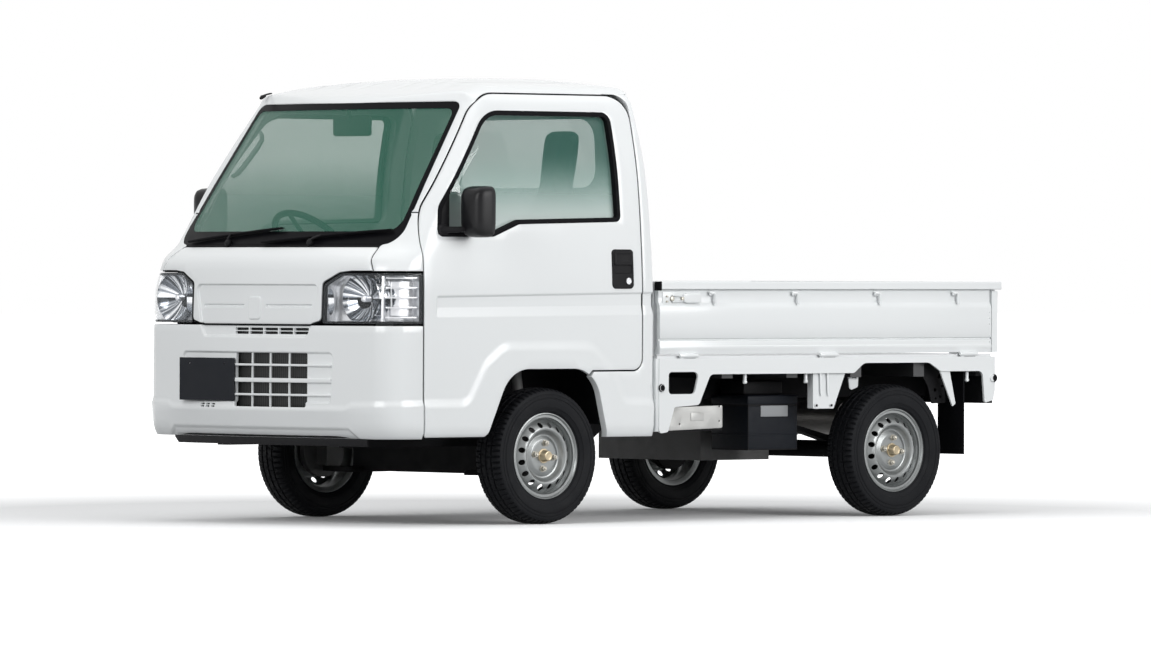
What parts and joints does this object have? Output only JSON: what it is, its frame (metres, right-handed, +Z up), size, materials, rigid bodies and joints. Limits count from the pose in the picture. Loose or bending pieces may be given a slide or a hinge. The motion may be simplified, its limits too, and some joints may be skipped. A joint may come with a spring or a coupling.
{
  "type": "kei truck",
  "caption": "Small cab-over truck with a two-seat cab, a drop-side load bed with three hinged gates, and steel wheels.",
  "frame": {"origin": "on the ground, at the middle of the truck's length and width", "axes": "+X is forward, +Y is the truck's left, +Z is up"},
  "size_m": [3.3948, 1.716, 1.7448],
  "materials": {
    "white_paint": "glossy",
    "black_steel": "satin",
    "bed_paint": "satin",
    "tinted_glass": "glossy",
    "lamp_glass": "glossy",
    "lamp_reflector": "glossy",
    "tail_lamp_red": "glossy",
    "black_plastic": "matte",
    "dash_plastic": "matte",
    "seat_fabric": "matte",
    "plate_dark": "matte",
    "radiator_black": "matte",
    "tyre_rubber": "matte",
    "black_rubber": "matte",
    "wheel_silver": "satin",
    "cast_grey": "matte",
    "exhaust_steel": "satin"
  },
  "bodies": {
    "body": {"roof_panel": "white_paint", "back_panel": "white_paint", "side_frames": "white_paint", "front_bumper": "white_paint", "headlamp_lenses": "lamp_glass", "headlamp_buckets": "lamp_reflector", "windshield": "tinted_glass", "rear_window": "tinted_glass", "cab_floor": "black_steel", "dashboard": "dash_plastic", "cowl": "black_plastic", "driver_seat": "seat_fabric", "passenger_seat": "seat_fabric", "radiator": "radiator_black", "number_plates": "plate_dark", "chassis_frame": "black_steel", "bed_floor": "bed_paint", "bed_skirts": "white_paint", "rear_axle": "black_steel", "engine_block": "cast_grey", "exhaust": "exhaust_steel", "fuel_tank": "black_steel", "battery_box": "black_plastic", "mud_flaps": "black_rubber", "tail_lamps": "tail_lamp_red"},
    "left_door": {"left_door": "white_paint", "left_door_glass": "tinted_glass", "left_mirror_and_handle": "black_plastic"},
    "right_door": {"right_door": "white_paint", "right_door_glass": "tinted_glass", "right_mirror_and_handle": "black_plastic"},
    "hood": {"hood": "white_paint"},
    "left_gate": {"left_gate": "white_paint"},
    "right_gate": {"right_gate": "white_paint"},
    "tail_gate": {"tail_gate": "white_paint"},
    "steering_wheel": {"steering_wheel": "black_plastic"},
    "left_knuckle": {"left_knuckle": "cast_grey"},
    "right_knuckle": {"right_knuckle": "cast_grey"},
    "front_left_wheel": {"front_left_wheel": "wheel_silver", "front_left_tyre": "tyre_rubber"},
    "front_right_wheel": {"front_right_wheel": "wheel_silver", "front_right_tyre": "tyre_rubber"},
    "rear_left_wheel": {"rear_left_wheel": "wheel_silver", "rear_left_tyre": "tyre_rubber"},
    "rear_right_wheel": {"rear_right_wheel": "wheel_silver", "rear_right_tyre": "tyre_rubber"}
  },
  "joints": [
    {"name": "left_door_hinge", "type": "hinge", "parent": "body", "child": "left_door", "pos_m": [1.443, 0.735, 0.9], "axis": [0, 0, -1], "range_deg": [0, 65]},
    {"name": "right_door_hinge", "type": "hinge", "parent": "body", "child": "right_door", "pos_m": [1.443, -0.735, 0.9], "axis": [0, 0, 1], "range_deg": [0, 65]},
    {"name": "hood_hinge", "type": "hinge", "parent": "body", "child": "hood", "pos_m": [1.612, 0, 1.08], "axis": [0, -1, 0], "range_deg": [0, 50]},
    {"name": "left_gate_hinge", "type": "hinge", "parent": "body", "child": "left_gate", "pos_m": [-0.717, 0.731, 0.65], "axis": [-1, 0, 0], "range_deg": [0, 176]},
    {"name": "right_gate_hinge", "type": "hinge", "parent": "body", "child": "right_gate", "pos_m": [-0.717, -0.731, 0.65], "axis": [1, 0, 0], "range_deg": [0, 176]},
    {"name": "tail_gate_hinge", "type": "hinge", "parent": "body", "child": "tail_gate", "pos_m": [-1.6885, 0, 0.65], "axis": [0, -1, 0], "range_deg": [0, 176]},
    {"name": "left_steer", "type": "hinge", "parent": "body", "child": "left_knuckle", "pos_m": [0.79, 0.574, 0.265], "axis": [0, -0.1461, 0.9893], "range_deg": [-33, 33]},
    {"name": "right_steer", "type": "hinge", "parent": "body", "child": "right_knuckle", "pos_m": [0.79, -0.574, 0.265], "axis": [0, 0.1461, 0.9893], "range_deg": [-33, 33]},
    {"name": "steering_wheel_turn", "type": "hinge", "parent": "body", "child": "steering_wheel", "pos_m": [1.085, -0.33, 1.08], "axis": [-0.7071, 0, 0.7071], "range_deg": [-500, 500]},
    {"name": "front_left_wheel_spin", "type": "hinge", "parent": "left_knuckle", "child": "front_left_wheel", "pos_m": [0.79, 0.6475, 0.265], "axis": [0, 1, 0], "continuous": true},
    {"name": "rear_left_wheel_spin", "type": "hinge", "parent": "body", "child": "rear_left_wheel", "pos_m": [-1.11, 0.6475, 0.265], "axis": [0, 1, 0], "continuous": true},
    {"name": "front_right_wheel_spin", "type": "hinge", "parent": "right_knuckle", "child": "front_right_wheel", "pos_m": [0.79, -0.6475, 0.265], "axis": [0, 1, 0], "continuous": true},
    {"name": "rear_right_wheel_spin", "type": "hinge", "parent": "body", "child": "rear_right_wheel", "pos_m": [-1.11, -0.6475, 0.265], "axis": [0, 1, 0], "continuous": true}
  ],
  "couplings": [
    {"joint": "right_steer", "follows": "left_steer", "ratio": 1},
    {"joint": "steering_wheel_turn", "follows": "left_steer", "ratio": 15}
  ]
}
